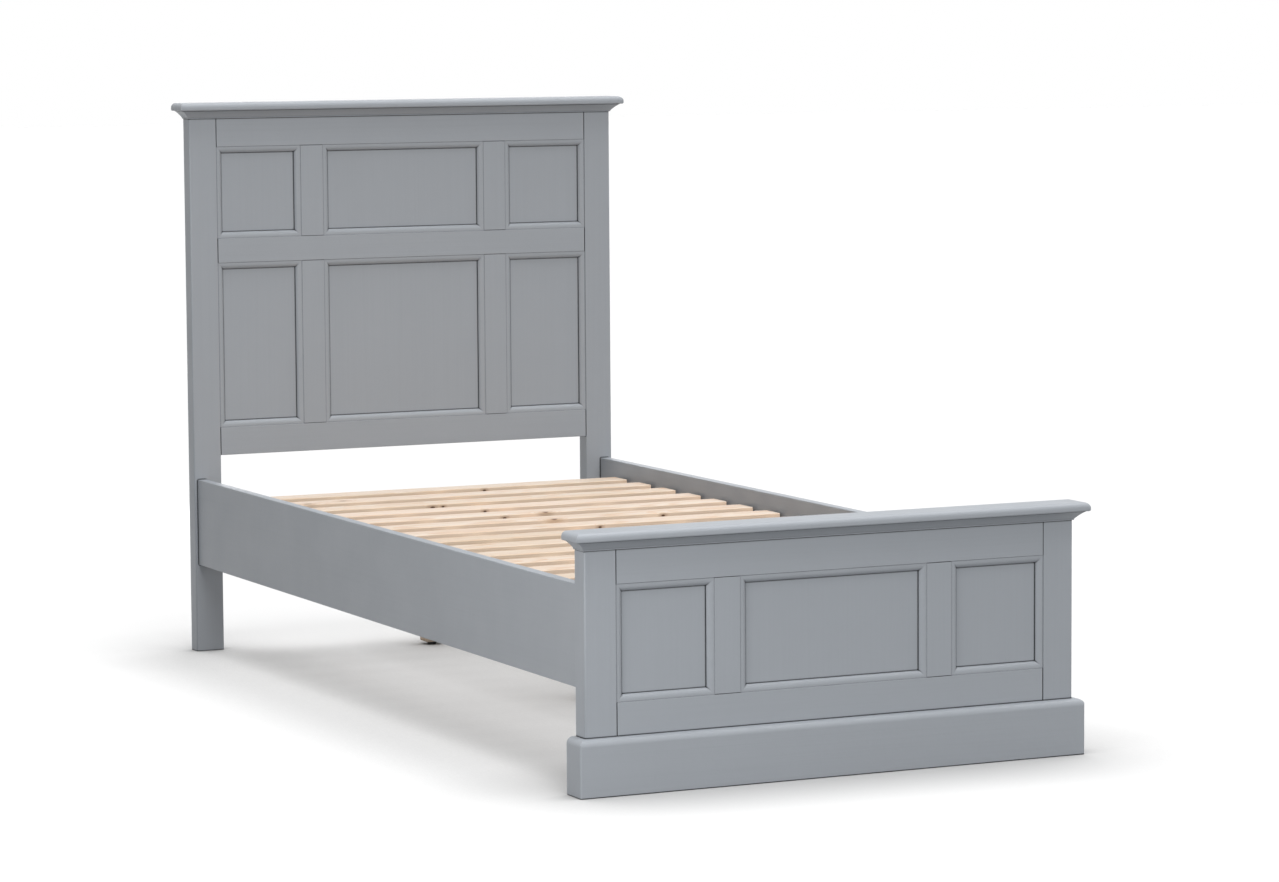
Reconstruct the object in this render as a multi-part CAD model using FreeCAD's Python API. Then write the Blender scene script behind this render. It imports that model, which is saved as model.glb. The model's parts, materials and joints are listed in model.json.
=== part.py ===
import FreeCAD
import Part
import math
import os

from FreeCAD import Vector

# A panelled single bed: headboard, footboard, side rails and a loose roll of slats.
# Millimetres. X runs across the bed, Y runs from the footboard (-Y) to the headboard (+Y),
# Z is up. The origin is on the floor below the middle of the bed. Left is -X. The fronts of
# both boards, with the mouldings, face -Y.

# ---------------------------------------------------------------- driving dimensions

# The mattress and the room round it
mattress_width = 900.0
mattress_length = 1900.0
mattress_play = 12.0

# Whole heights, from the floor to the top of each cap
head_height = 1151.0
foot_height = 457.0

# Posts
post_width = 60.0
head_post_depth = 35.0
foot_post_depth = 40.0
post_round = 3.0

# Board rails, from the lowest up
head_open_height = 412.0
head_bottom_rail = 59.0
head_upper_opening = 191.0
head_middle_rail = 52.0
head_top_rail = 76.0
foot_open_height = 60.0
foot_bottom_rail = 100.0
foot_top_rail = 77.0

# Frame of rails and muntins, with its joints
frame_thickness = 22.0
frame_reveal = 0.5
joint_chamfer = 0.8
shadow_gap_width = 1.2
shadow_gap_depth = 3.0
muntin_width = 50.5
side_opening = 188.0
tenon_length = 25.0
tenon_thickness = 10.0
tenon_inset = 10.0
joint_clearance = 0.1
mortise_room = 1.0
stub_room = 0.5

# Panels and their beads
panel_thickness = 7.0
panel_recess = 9.0
groove_depth = 8.0
groove_clearance = 0.15
panel_side_room = 1.0
panel_top_room = 2.0
bead_width = 12.5
bead_drop = 0.7
bead_flat = 3.0
bead_toe = 2.0

# Caps and the coves below them
cap_thickness = 16.0
cap_overhang = 24.0
head_cap_back = 5.0
cap_top_round = 10.0
cap_bottom_round = 3.0
cove_height = 16.5
cove_reach = 17.5
cove_foot = 2.0
cove_lip = 1.0
cove_step = 0.8
cove_hollow = 0.7
dowel_diameter = 8.0
dowel_in_cap = 8.0
dowel_in_post = 22.0
dowel_spacing = 150.0

# Plinth round the footboard
plinth_height = 101.0
plinth_thickness = 17.0
plinth_top_round = 12.0
plinth_bottom_round = 1.5
plinth_corner_round = 3.0

# Side rails
side_rail_thickness = 20.0
side_rail_height = 180.0
side_rail_underside = 183.0
side_rail_setback = 7.0
side_rail_top_round = 2.0
side_rail_bottom_round = 1.0

# Hook-and-slot brackets at the rails' ends
bracket_width = 13.0
bracket_height = 110.0
bracket_plate = 2.0
bracket_screw_spacing = 88.0
hook_spacing = 44.0
hook_width = 3.0
hook_height = 10.0
hook_tip = 8.0
hook_thickness = 4.0
hook_gap = 0.3
slot_side_room = 0.5
slot_room = 2.0
pocket_room = 1.0
screw_length = 25.0
screw_diameter = 4.0

# Ledgers
ledger_width = 30.0
ledger_height = 25.0
ledger_end_gap = 5.0

# Slats and their straps
slat_count = 15
slat_width = 60.0
slat_thickness = 18.0
slat_top = 330.0
slat_end_gap = 9.0
slat_head_gap = 125.0
slat_foot_gap = 107.0
slat_chamfer = 1.5
strap_width = 38.0
strap_thickness = 1.5
strap_offset = 220.0
strap_end = 6.0

# Centre rail, legs and levelling glides
centre_rail_width = 38.0
centre_rail_height = 40.0
timber_chamfer = 1.5
leg_bolt_diameter = 8.0
leg_bolt_in_rail = 28.0
leg_bolt_in_leg = 32.0
insert_diameter = 12.0
insert_length = 13.0
glide_diameter = 20.0
glide_height = 6.0
glide_chamfer = 1.5
glide_stem_diameter = 6.0
glide_stem_length = 22.0
glide_clearance = 0.3
glide_stem_room = 3.0

# ---------------------------------------------------------------- places worked out from them

inner_width = mattress_width + mattress_play
inner_length = mattress_length + mattress_play
side_rail_inner = inner_width / 2
side_rail_outer = side_rail_inner + side_rail_thickness
side_rail_top = side_rail_underside + side_rail_height
post_outer = side_rail_outer + side_rail_setback
post_inner = post_outer - post_width
muntin_outer = post_inner - side_opening
muntin_inner = muntin_outer - muntin_width

overall_length = cap_overhang + foot_post_depth + inner_length + head_post_depth + head_cap_back
foot_front = cap_overhang - overall_length / 2
foot_inner = foot_front + foot_post_depth
head_front = foot_inner + inner_length

slat_underside = slat_top - slat_thickness
slat_half_length = side_rail_inner - slat_end_gap
slat_pitch = (inner_length - slat_head_gap - slat_foot_gap) / (slat_count - 1)
slat_centres = [head_front - slat_head_gap - slat_pitch * number for number in range(slat_count)]
deck_head = slat_centres[0] + slat_width / 2
deck_foot = slat_centres[-1] - slat_width / 2

centre_rail_underside = slat_underside - centre_rail_height
leg_centres = [slat_centres[0], slat_centres[slat_count // 2], slat_centres[-1]]
bracket_centre = side_rail_underside + side_rail_height / 2
bracket_x = side_rail_inner + side_rail_thickness / 2

X_AXIS = Vector(1, 0, 0)
Y_AXIS = Vector(0, 1, 0)
Z_AXIS = Vector(0, 0, 1)
ORIGIN = Vector(0, 0, 0)
SAME_PLACE = 0.000001


class Board:
    """What sets the headboard and the footboard apart. Rails are (underside, top), lowest first."""

    def __init__(self, name, front, post_depth, height, cap_back, rails):
        self.name = name
        self.front = front
        self.face = front + frame_reveal
        self.back = front + post_depth
        self.cap_top = height
        self.cap_underside = height - cap_thickness
        self.cap_back = cap_back
        self.rails = rails
        self.rows = [(low[1], high[0]) for low, high in zip(rails, rails[1:])]
        self.groove = (self.face + panel_recess - groove_clearance,
                       self.face + panel_recess + panel_thickness + groove_clearance)


def headboard():
    """The headboard's places: three rails and two rows of panels."""
    cap_underside = head_height - cap_thickness
    top = (cap_underside - head_top_rail, cap_underside)
    middle_top = top[0] - head_upper_opening
    middle = (middle_top - head_middle_rail, middle_top)
    bottom = (head_open_height, head_open_height + head_bottom_rail)
    return Board("headboard", head_front, head_post_depth, head_height, head_cap_back,
                 [bottom, middle, top])


def footboard():
    """The footboard's places: two rails and one row of panels."""
    bottom = (foot_open_height, foot_open_height + foot_bottom_rail)
    cap_underside = foot_height - cap_thickness
    top = (cap_underside - foot_top_rail, cap_underside)
    return Board("footboard", foot_front, foot_post_depth, foot_height, 0.0, [bottom, top])


# ---------------------------------------------------------------- small helpers

def box(x_range, y_range, z_range):
    """A box between two X, two Y and two Z values."""
    low = Vector(min(x_range), min(y_range), min(z_range))
    high = Vector(max(x_range), max(y_range), max(z_range))
    size = high - low
    return Part.makeBox(size.x, size.y, size.z, low)


def about(centre, width):
    """The range of a given width round a centre."""
    return (centre - width / 2, centre + width / 2)


def edges_at(shape, **places):
    """The edges whose midpoint has each of the given x, y or z values."""
    found = []
    for edge in shape.Edges:
        middle = edge.CenterOfMass
        if all(abs(getattr(middle, axis) - place) < SAME_PLACE for axis, place in places.items()):
            found.append(edge)
    return found


def rounded(shape, radius, edges):
    """The shape with some edges rounded."""
    return shape.makeFillet(radius, edges)


def cut_all(shape, cutters):
    """The shape with every cutter taken out of it."""
    if not cutters:
        return shape
    return shape.cut(cutters)


def turned_solid(points):
    """The solid of revolution about Z of an outline given as (radius, height) points."""
    corners = [Vector(radius, 0, height) for radius, height in points]
    outline = Part.makePolygon(corners + corners[:1])
    return Part.Face(outline).revolve(ORIGIN, Z_AXIS, 360)


def plan_prism(points, z_range):
    """An upright prism over an outline given as (x, y) points."""
    corners = [Vector(x, y, z_range[0]) for x, y in points]
    outline = Part.makePolygon(corners + corners[:1])
    return Part.Face(outline).extrude(Z_AXIS * (z_range[1] - z_range[0]))


def save(name, shapes):
    """Writes one sub-part: a single solid, or several alike as one group."""
    solids = []
    for shape in shapes:
        solids.extend(shape.Solids)
    whole = solids[0] if len(solids) == 1 else Part.makeCompound(solids)
    whole.exportStep("parts/" + name + ".step")


# ---------------------------------------------------------------- framed boards

def tenon_ranges(board, rail, room):
    """The Y and Z ranges of a rail's tenon, grown by a clearance."""
    centre = board.face + panel_recess + panel_thickness / 2
    y_range = about(centre, tenon_thickness + 2 * room)
    z_range = (rail[0] + tenon_inset - room, rail[1] - tenon_inset + room)
    return y_range, z_range


def dowel_centres(board):
    """Where the cap's dowels stand: one in each post and two in the top rail."""
    post_place = (post_inner + post_outer) / 2
    y = board.face + frame_thickness / 2
    return [Vector(x, y, board.cap_underside)
            for x in (-post_place, -dowel_spacing, dowel_spacing, post_place)]


def dowel(centre, radial_room=0.0, end_room=0.0):
    """A cap dowel, or with room the hole for it."""
    low = centre - Z_AXIS * (dowel_in_post + end_room)
    length = dowel_in_post + dowel_in_cap + 2 * end_room
    return Part.makeCylinder(dowel_diameter / 2 + radial_room, length, low)


def dowel_hole(centre):
    """The hole for a cap dowel, a little wider and longer than the dowel."""
    return dowel(centre, joint_clearance, mortise_room)


def post(board, side):
    """A post with its mortises, panel grooves, dowel hole and bracket pocket."""
    inner = side * post_inner
    outer = side * post_outer
    shape = box((inner, outer), (board.front, board.back), (0, board.cap_underside))
    outer_edges = edges_at(shape, x=outer, y=board.front) + edges_at(shape, x=outer, y=board.back)
    shape = rounded(shape, post_round, outer_edges)
    shape = shape.makeChamfer(joint_chamfer, edges_at(shape, x=inner, y=board.front))
    cutters = []
    for rail in board.rails:
        y_range, z_range = tenon_ranges(board, rail, joint_clearance)
        cutters.append(box((inner, inner + side * (tenon_length + mortise_room)), y_range, z_range))
    for low, high in board.rows:
        z_range = (low - groove_depth, high + groove_depth)
        cutters.append(box((inner, inner + side * groove_depth), board.groove, z_range))
    for centre in dowel_centres(board):
        if centre.x * side > post_inner:
            cutters.append(dowel_hole(centre))
    for site in bracket_sites():
        if site.x * side > 0 and board.front - SAME_PLACE < site.y < board.back + SAME_PLACE:
            cutters.extend(slot_plate_cutters(site))
    return cut_all(shape, cutters)


def board_rail(board, rail):
    """A rail between the posts: tenons and a narrow gap in front of both shoulders, and grooves."""
    low, high = rail
    shape = box((-post_inner, post_inner), (board.face, board.face + frame_thickness), rail)
    shape = shape.makeChamfer(joint_chamfer, edges_at(shape, y=board.face))
    y_range, z_range = tenon_ranges(board, rail, 0)
    for side in (-1, 1):
        shoulder = side * post_inner
        shape = shape.fuse(box((shoulder, shoulder + side * tenon_length), y_range, z_range))
    front_layer = (board.face, board.face + shadow_gap_depth)
    cutters = [box((side * (post_inner - shadow_gap_width), side * post_inner), front_layer, rail)
               for side in (-1, 1)]
    for row_low, row_high in board.rows:
        if row_low == high:
            cutters.append(box((-post_inner, post_inner), board.groove, (high - groove_depth, high)))
        if row_high == low:
            cutters.append(box((-post_inner, post_inner), board.groove, (low, low + groove_depth)))
    if high == board.cap_underside:
        cutters.extend(dowel_hole(centre) for centre in dowel_centres(board)
                       if abs(centre.x) < post_inner)
    return cut_all(shape, cutters)


def muntin(board, row, side):
    """A short upright between two panels, with a stub tenon in the rail's groove at each end."""
    low, high = row
    x_range = (side * muntin_inner, side * muntin_outer)
    shape = box(x_range, (board.face, board.face + frame_thickness), row)
    shape = shape.makeChamfer(joint_chamfer, edges_at(shape, y=board.face))
    reach = groove_depth - stub_room
    panel_front = board.face + panel_recess
    stub_y = (panel_front, panel_front + panel_thickness)
    shape = shape.fuse(box(x_range, stub_y, (low - reach, high + reach)))
    cutters = []
    for edge in x_range:
        inward = math.copysign(groove_depth, sum(x_range) / 2 - edge)
        cutters.append(box((edge, edge + inward), board.groove, (low - reach, high + reach)))
    return cut_all(shape, cutters)


def panel(board, row, column):
    """A flat panel standing on the groove's floor, with room to move at its sides and top."""
    reach = groove_depth - panel_side_room
    front = board.face + panel_recess
    return box((column[0] - reach, column[1] + reach),
               (front, front + panel_thickness),
               (row[0] - groove_depth, row[1] + groove_depth - panel_top_room))


def bead_length(length):
    """One mitred length of bead along X: its outer edge on z = 0, the frame's face on y = 0."""
    run = bead_width - bead_flat
    toe = panel_recess - bead_toe
    drop = toe - bead_drop
    radius = (run * run + drop * drop) / (2 * drop)
    half_turn = math.asin(run / radius) / 2
    start = Vector(0, bead_drop, bead_flat)
    middle = Vector(0, bead_drop + radius * (1 - math.cos(half_turn)),
                    bead_flat + radius * math.sin(half_turn))
    end = Vector(0, toe, bead_width)
    corners = [end, Vector(0, panel_recess, bead_width), Vector(0, panel_recess, 0),
               Vector(0, bead_drop, 0), start]
    section = Part.Wire([Part.Arc(start, middle, end).toShape()] + Part.makePolygon(corners).Edges)
    stick = Part.Face(section).extrude(X_AXIS * length)
    stick.translate(X_AXIS * (-length / 2))
    half = length / 2
    mitre = [Vector(-half, 0, 0), Vector(half, 0, 0),
             Vector(half - bead_width, 0, bead_width), Vector(bead_width - half, 0, bead_width)]
    outline = Part.Face(Part.makePolygon(mitre + mitre[:1])).extrude(Y_AXIS * panel_recess)
    return stick.common(outline)


def bead_frame(board, row, column):
    """Four lengths of bead round one opening, resting on the panel."""
    x_middle = sum(column) / 2
    z_middle = sum(row) / 2
    width = column[1] - column[0]
    height = row[1] - row[0]
    lengths = []
    for size, quarter_turns, x, z in ((width, 0, x_middle, row[0]), (height, 1, column[0], z_middle),
                                      (width, 2, x_middle, row[1]), (height, 3, column[1], z_middle)):
        length = bead_length(size)
        length.rotate(ORIGIN, Y_AXIS, 90 * quarter_turns)
        length.translate(Vector(x, board.face, z))
        lengths.append(length)
    return lengths


def cap(board):
    """The cap board, rounded at the front and both ends, with holes for its dowels."""
    end = post_outer + cap_overhang
    front = board.front - cap_overhang
    top = board.cap_top
    low = board.cap_underside
    shape = box((-end, end), (front, board.back + board.cap_back), (low, top))
    upper = edges_at(shape, y=front, z=top) + edges_at(shape, x=-end, z=top) + edges_at(shape, x=end, z=top)
    shape = rounded(shape, cap_top_round, upper)
    lower = edges_at(shape, y=front, z=low) + edges_at(shape, x=-end, z=low) + edges_at(shape, x=end, z=low)
    shape = rounded(shape, cap_bottom_round, lower)
    return cut_all(shape, [dowel_hole(centre) for centre in dowel_centres(board)])


def wrapped_moulding(board, section, reach, z_range):
    """A moulding round a board's front and sides: a front length and two returns, mitred.

    section(place) gives the moulding's face, where place(out, z) is a point out from the posts.
    """
    corner = post_outer + reach
    run = section(lambda out, z: Vector(-corner, board.front - out, z)).extrude(X_AXIS * 2 * corner)
    plan = [(-corner, board.front - reach), (corner, board.front - reach),
            (post_outer, board.front), (-post_outer, board.front)]
    pieces = [run.common(plan_prism(plan, z_range))]
    for side in (-1, 1):
        start = board.front - reach
        run = section(lambda out, z: Vector(side * (post_outer + out), start, z))
        run = run.extrude(Y_AXIS * (board.back - start))
        plan = [(side * post_outer, board.front), (side * corner, start),
                (side * corner, board.back), (side * post_outer, board.back)]
        pieces.append(run.common(plan_prism(plan, z_range)))
    return pieces


def cove(board):
    """The hollow moulding that fills the corner between the posts' faces and the cap."""
    top = board.cap_underside
    bottom = top - cove_height

    def section(place):
        start = (cove_foot, bottom + cove_foot)
        end = (cove_reach - cove_step, top - cove_lip)
        slope = math.hypot(end[0] - start[0], end[1] - start[1])
        inward = (start[1] - end[1]) / slope
        upward = (end[0] - start[0]) / slope
        middle = ((start[0] + end[0]) / 2 + inward * cove_hollow,
                  (start[1] + end[1]) / 2 + upward * cove_hollow)
        hollow = Part.Arc(place(*start), place(*middle), place(*end)).toShape()
        corners = [place(*end), place(cove_reach, top - cove_lip), place(cove_reach, top),
                   place(0, top), place(0, bottom), place(cove_foot, bottom), place(*start)]
        return Part.Face(Part.Wire([hollow] + Part.makePolygon(corners).Edges))

    return wrapped_moulding(board, section, cove_reach, (bottom, top))


def plinth(board):
    """The plinth boards on the floor, with a rounded top edge."""
    lower = plinth_bottom_round
    upper = plinth_height - plinth_top_round
    corner_cosine = math.cos(math.pi / 4)

    def section(place):
        top_inset = plinth_thickness - plinth_top_round * (1 - corner_cosine)
        low_inset = plinth_thickness - lower * (1 - corner_cosine)
        top_arc = Part.Arc(place(plinth_thickness, upper),
                           place(top_inset, upper + plinth_top_round * corner_cosine),
                           place(plinth_thickness - plinth_top_round, plinth_height)).toShape()
        low_arc = Part.Arc(place(plinth_thickness - lower, 0),
                           place(low_inset, lower - lower * corner_cosine),
                           place(plinth_thickness, lower)).toShape()
        face_line = Part.makePolygon([place(plinth_thickness, lower), place(plinth_thickness, upper)])
        back_line = Part.makePolygon([place(plinth_thickness - plinth_top_round, plinth_height),
                                      place(0, plinth_height), place(0, 0),
                                      place(plinth_thickness - lower, 0)])
        return Part.Face(Part.Wire([low_arc] + face_line.Edges + [top_arc] + back_line.Edges))

    corner = post_outer + plinth_thickness
    front = board.front - plinth_thickness
    envelope = box((-corner, corner), (front, board.back), (0, plinth_height))
    corners = edges_at(envelope, x=-corner, y=front) + edges_at(envelope, x=corner, y=front)
    envelope = rounded(envelope, plinth_corner_round, corners)
    pieces = wrapped_moulding(board, section, plinth_thickness, (0, plinth_height))
    return [piece.common(envelope) for piece in pieces]


# ---------------------------------------------------------------- brackets and screws

def bracket_sites():
    """The middle of each joint face between a side rail and a post."""
    return [Vector(side * bracket_x, y, bracket_centre)
            for side in (-1, 1) for y in (foot_inner, head_front)]


def at_site(shape, site):
    """A bracket piece made to point along +Y, moved to its joint and turned to face the post."""
    if site.y < 0:
        shape.rotate(ORIGIN, Z_AXIS, 180)
    shape.translate(site)
    return shape


def bracket_screws(direction, room=0.0):
    """A plate's two screw shanks, or with room their holes: 1 into the post, -1 into the rail."""
    screws = []
    for z in (-bracket_screw_spacing / 2, bracket_screw_spacing / 2):
        screws.append(Part.makeCylinder(screw_diameter / 2 + room, screw_length + room,
                                        Vector(0, 0, z), Y_AXIS * direction))
    return screws


def hook_places():
    """The undersides of the two hooks' arms, from the bracket's middle."""
    return [-hook_spacing / 2, hook_spacing / 2]


def hook(arm_underside):
    """A hook that reaches through the slot plate and turns down behind it."""
    behind = bracket_plate + hook_gap
    reach = behind + hook_thickness
    arm_top = arm_underside + hook_height
    tip = arm_underside - hook_tip
    corner = hook_thickness
    cosine = math.cos(math.pi / 4)
    points = [Vector(0, reach, arm_top - corner), Vector(0, reach, tip), Vector(0, behind, tip),
              Vector(0, behind, arm_underside), Vector(0, 0, arm_underside), Vector(0, 0, arm_top),
              Vector(0, reach - corner, arm_top)]
    bend = Part.Arc(points[-1],
                    Vector(0, reach - corner * (1 - cosine), arm_top - corner * (1 - cosine)),
                    points[0]).toShape()
    outline = Part.Wire(Part.makePolygon(points).Edges + [bend])
    shape = Part.Face(outline).extrude(X_AXIS * hook_width)
    shape.translate(X_AXIS * (-hook_width / 2))
    return shape


def hook_plate(site):
    """The plate let into a rail's end, with its two hooks and its screws."""
    shape = box(about(0, bracket_width), (-bracket_plate, 0), about(0, bracket_height))
    hooks = [hook(arm_underside) for arm_underside in hook_places()]
    return at_site(shape.fuse(hooks + bracket_screws(-1)), site)


def slot_range(arm_underside):
    """A slot's Z range: the arm rests on its foot, and the whole hook passes in above."""
    return (arm_underside, arm_underside + hook_height + hook_tip + slot_room)


def slot_plate(site):
    """The plate let into a post's face, with a slot for each hook and its screws."""
    shape = box(about(0, bracket_width), (0, bracket_plate), about(0, bracket_height))
    slots = [box(about(0, hook_width + 2 * slot_side_room), (0, bracket_plate), slot_range(arm_underside))
             for arm_underside in hook_places()]
    return at_site(cut_all(shape, slots).fuse(bracket_screws(1)), site)


def plate_recess(y_range):
    """The shallow recess that a bracket plate sits in."""
    width = bracket_width + 2 * joint_clearance
    height = bracket_height + 2 * joint_clearance
    return box(about(0, width), y_range, about(0, height))


def slot_plate_cutters(site):
    """What a slot plate, its screws and the hooks behind it take out of a post."""
    cutters = [plate_recess((0, bracket_plate))] + bracket_screws(1, joint_clearance)
    depth = bracket_plate + hook_gap + hook_thickness + pocket_room
    for arm_underside in hook_places():
        low = arm_underside - hook_tip - pocket_room
        high = slot_range(arm_underside)[1]
        cutters.append(box(about(0, hook_width + 2 * slot_side_room), (0, depth), (low, high)))
    return [at_site(cutter, site) for cutter in cutters]


def hook_plate_cutters(site):
    """What a hook plate and its screws take out of a rail's end."""
    cutters = [plate_recess((-bracket_plate, 0))] + bracket_screws(-1, joint_clearance)
    return [at_site(cutter, site) for cutter in cutters]


# ---------------------------------------------------------------- side rails and ledgers

def side_rail(side):
    """A side rail between the posts, with its brackets' recesses."""
    inner = side * side_rail_inner
    outer = side * side_rail_outer
    shape = box((inner, outer), (foot_inner, head_front), (side_rail_underside, side_rail_top))
    top_edges = edges_at(shape, x=inner, z=side_rail_top) + edges_at(shape, x=outer, z=side_rail_top)
    shape = rounded(shape, side_rail_top_round, top_edges)
    low_edges = edges_at(shape, x=inner, z=side_rail_underside)
    low_edges += edges_at(shape, x=outer, z=side_rail_underside)
    shape = rounded(shape, side_rail_bottom_round, low_edges)
    cutters = []
    for site in bracket_sites():
        if site.x * side > 0:
            cutters.extend(hook_plate_cutters(site))
    return cut_all(shape, cutters)


def ledger(side):
    """The strip along a side rail's inner face that carries the slats' ends."""
    inner = side * (side_rail_inner - ledger_width)
    z_range = (slat_underside - ledger_height, slat_underside)
    shape = box((inner, side * side_rail_inner),
                (foot_inner + ledger_end_gap, head_front - ledger_end_gap), z_range)
    return shape.makeChamfer(timber_chamfer, edges_at(shape, x=inner, z=z_range[0]))


# ---------------------------------------------------------------- slat roll

def slat(centre):
    """One slat across the bed, with its long arrises chamfered."""
    y_range = about(centre, slat_width)
    z_range = (slat_underside, slat_top)
    shape = box((-slat_half_length, slat_half_length), y_range, z_range)
    long_edges = [edge for y in y_range for z in z_range for edge in edges_at(shape, y=y, z=z)]
    return shape.makeChamfer(slat_chamfer, long_edges)


def straps():
    """The two webbing straps on the slats' undersides."""
    z_range = (slat_underside - strap_thickness, slat_underside)
    y_range = (deck_foot + strap_end, deck_head - strap_end)
    return [box(about(side * strap_offset, strap_width), y_range, z_range) for side in (-1, 1)]


# ---------------------------------------------------------------- centre support

def leg_bolt(y, room=0.0):
    """The double-ended bolt between a leg and the centre rail, or with room the hole for it."""
    low = centre_rail_underside - leg_bolt_in_leg - room
    length = leg_bolt_in_leg + leg_bolt_in_rail + 2 * room
    return Part.makeCylinder(leg_bolt_diameter / 2 + room, length, Vector(0, y, low))


def centre_rail():
    """The rail below the middle of the slats."""
    z_range = (centre_rail_underside, slat_underside)
    shape = box(about(0, centre_rail_width), (deck_foot, deck_head), z_range)
    half = centre_rail_width / 2
    low_edges = edges_at(shape, x=-half, z=z_range[0]) + edges_at(shape, x=half, z=z_range[0])
    shape = shape.makeChamfer(timber_chamfer, low_edges)
    return cut_all(shape, [leg_bolt(y, joint_clearance) for y in leg_centres])


def glide_stem_hole(y):
    """The hole in a leg's foot for the insert, and above it for the glide's stem."""
    insert_radius = insert_diameter / 2 + joint_clearance
    stem_radius = glide_stem_diameter / 2 + glide_clearance
    insert_top = glide_height + insert_length
    stem_top = glide_height + glide_stem_length + glide_stem_room
    shape = turned_solid([(0, glide_height), (insert_radius, glide_height),
                          (insert_radius, insert_top), (stem_radius, insert_top),
                          (stem_radius, stem_top), (0, stem_top)])
    shape.translate(Y_AXIS * y)
    return shape


def leg(y):
    """A square support leg with a chamfered foot."""
    shape = box(about(0, centre_rail_width), about(y, centre_rail_width),
                (glide_height, centre_rail_underside))
    shape = shape.makeChamfer(timber_chamfer, edges_at(shape, z=glide_height))
    return cut_all(shape, [leg_bolt(y, joint_clearance), glide_stem_hole(y)])


def leg_insert(y):
    """The threaded insert in a leg's foot."""
    outer = insert_diameter / 2
    bore = glide_stem_diameter / 2 + glide_clearance
    low = glide_height
    high = glide_height + insert_length
    shape = turned_solid([(bore, low), (outer, low), (outer, high), (bore, high)])
    shape.translate(Y_AXIS * y)
    return shape


def leveller(y):
    """A levelling glide: a round foot on the floor and a stem up into the leg."""
    foot = glide_diameter / 2
    stem = glide_stem_diameter / 2
    top = glide_height + glide_stem_length
    shape = turned_solid([(0, 0), (foot - glide_chamfer, 0), (foot, glide_chamfer),
                          (foot, glide_height), (stem, glide_height), (stem, top), (0, top)])
    shape.translate(Y_AXIS * y)
    return shape


# ---------------------------------------------------------------- writing the sub-parts

def save_board(board, rail_names, row_names):
    """Writes every piece of one board. Names run from the lowest rail or row up."""
    columns = {"left": (-post_inner, -muntin_outer), "centre": (-muntin_inner, muntin_inner),
               "right": (muntin_outer, post_inner)}
    for side_name, side in (("left", -1), ("right", 1)):
        save(board.name + "_post_" + side_name, [post(board, side)])
    for rail_name, rail in zip(rail_names, board.rails):
        save(board.name + "_" + rail_name + "_rail", [board_rail(board, rail)])
    for row_name, row in zip(row_names, board.rows):
        save(board.name + row_name + "_muntins", [muntin(board, row, side) for side in (-1, 1)])
        beads = []
        for column_name, column in columns.items():
            save(board.name + "_panel" + row_name + "_" + column_name, [panel(board, row, column)])
            beads.extend(bead_frame(board, row, column))
        save(board.name + row_name + "_beads", beads)
    save(board.name + "_cap", [cap(board)])
    save(board.name + "_cove", cove(board))


def main():
    """Builds the bed."""
    os.makedirs("parts", exist_ok=True)
    head = headboard()
    foot = footboard()
    save_board(head, ["bottom", "middle", "top"], ["_lower", "_upper"])
    save_board(foot, ["bottom", "top"], [""])
    save("footboard_plinth", plinth(foot))
    save("cap_dowels", [dowel(centre) for board in (head, foot) for centre in dowel_centres(board)])

    for side_name, side in (("left", -1), ("right", 1)):
        save("side_rail_" + side_name, [side_rail(side)])
        save("ledger_" + side_name, [ledger(side)])
    save("rail_hook_plates", [hook_plate(site) for site in bracket_sites()])
    save("post_slot_plates", [slot_plate(site) for site in bracket_sites()])

    save("centre_rail", [centre_rail()])
    save("support_legs", [leg(y) for y in leg_centres])
    save("leg_bolts", [leg_bolt(y) for y in leg_centres])
    save("leg_inserts", [leg_insert(y) for y in leg_centres])
    for place, y in zip(("head", "mid", "foot"), leg_centres):
        save("leveller_" + place, [leveller(y)])

    for number, centre in enumerate(slat_centres, start=1):
        save("slat_%02d" % number, [slat(centre)])
    save("webbing_straps", straps())


main()
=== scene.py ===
import json
import math
import random

import bmesh
import bpy
from mathutils import Matrix, Vector


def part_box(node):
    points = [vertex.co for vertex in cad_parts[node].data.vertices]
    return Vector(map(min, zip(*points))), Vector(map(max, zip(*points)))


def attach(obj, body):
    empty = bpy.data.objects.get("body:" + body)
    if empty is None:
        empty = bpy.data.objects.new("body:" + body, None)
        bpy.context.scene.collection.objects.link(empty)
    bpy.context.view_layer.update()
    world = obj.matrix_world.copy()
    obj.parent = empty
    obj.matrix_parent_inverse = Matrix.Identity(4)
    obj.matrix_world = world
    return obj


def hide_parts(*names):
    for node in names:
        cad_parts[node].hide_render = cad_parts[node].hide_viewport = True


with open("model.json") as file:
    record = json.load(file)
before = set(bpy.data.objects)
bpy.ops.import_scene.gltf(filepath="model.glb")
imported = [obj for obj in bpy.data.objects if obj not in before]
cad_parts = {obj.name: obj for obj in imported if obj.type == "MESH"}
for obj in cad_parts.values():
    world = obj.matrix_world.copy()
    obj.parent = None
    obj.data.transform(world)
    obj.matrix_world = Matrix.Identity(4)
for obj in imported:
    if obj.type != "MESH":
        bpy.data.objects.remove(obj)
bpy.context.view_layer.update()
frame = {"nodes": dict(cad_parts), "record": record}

# A panelled single bed in satin grey paint with a roll of pine slats.
# Lengths are in metres, angles in degrees and colours linear. X runs across the bed, Y from the
# footboard to the headboard, and Z is up. A noise is its scale in cycles a metre, its octaves and,
# where it isn't the usual, its roughness. A bump is its height in metres and its strength.

RANDOM_SEED = 7

# The photograph's camera: place, then yaw from +Y towards +X, pitch and roll
CAMERA_PLACE = Vector((-3.6331, -7.8353, 1.3564))
CAMERA_YAW = 25.422
CAMERA_PITCH = -5.633
CAMERA_ROLL = -0.3774
CAMERA_LENS = 125.553          # in millimetres, as the sensor is
SENSOR_WIDTH = 36.0
CAMERA_REACH = 200.0

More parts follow.
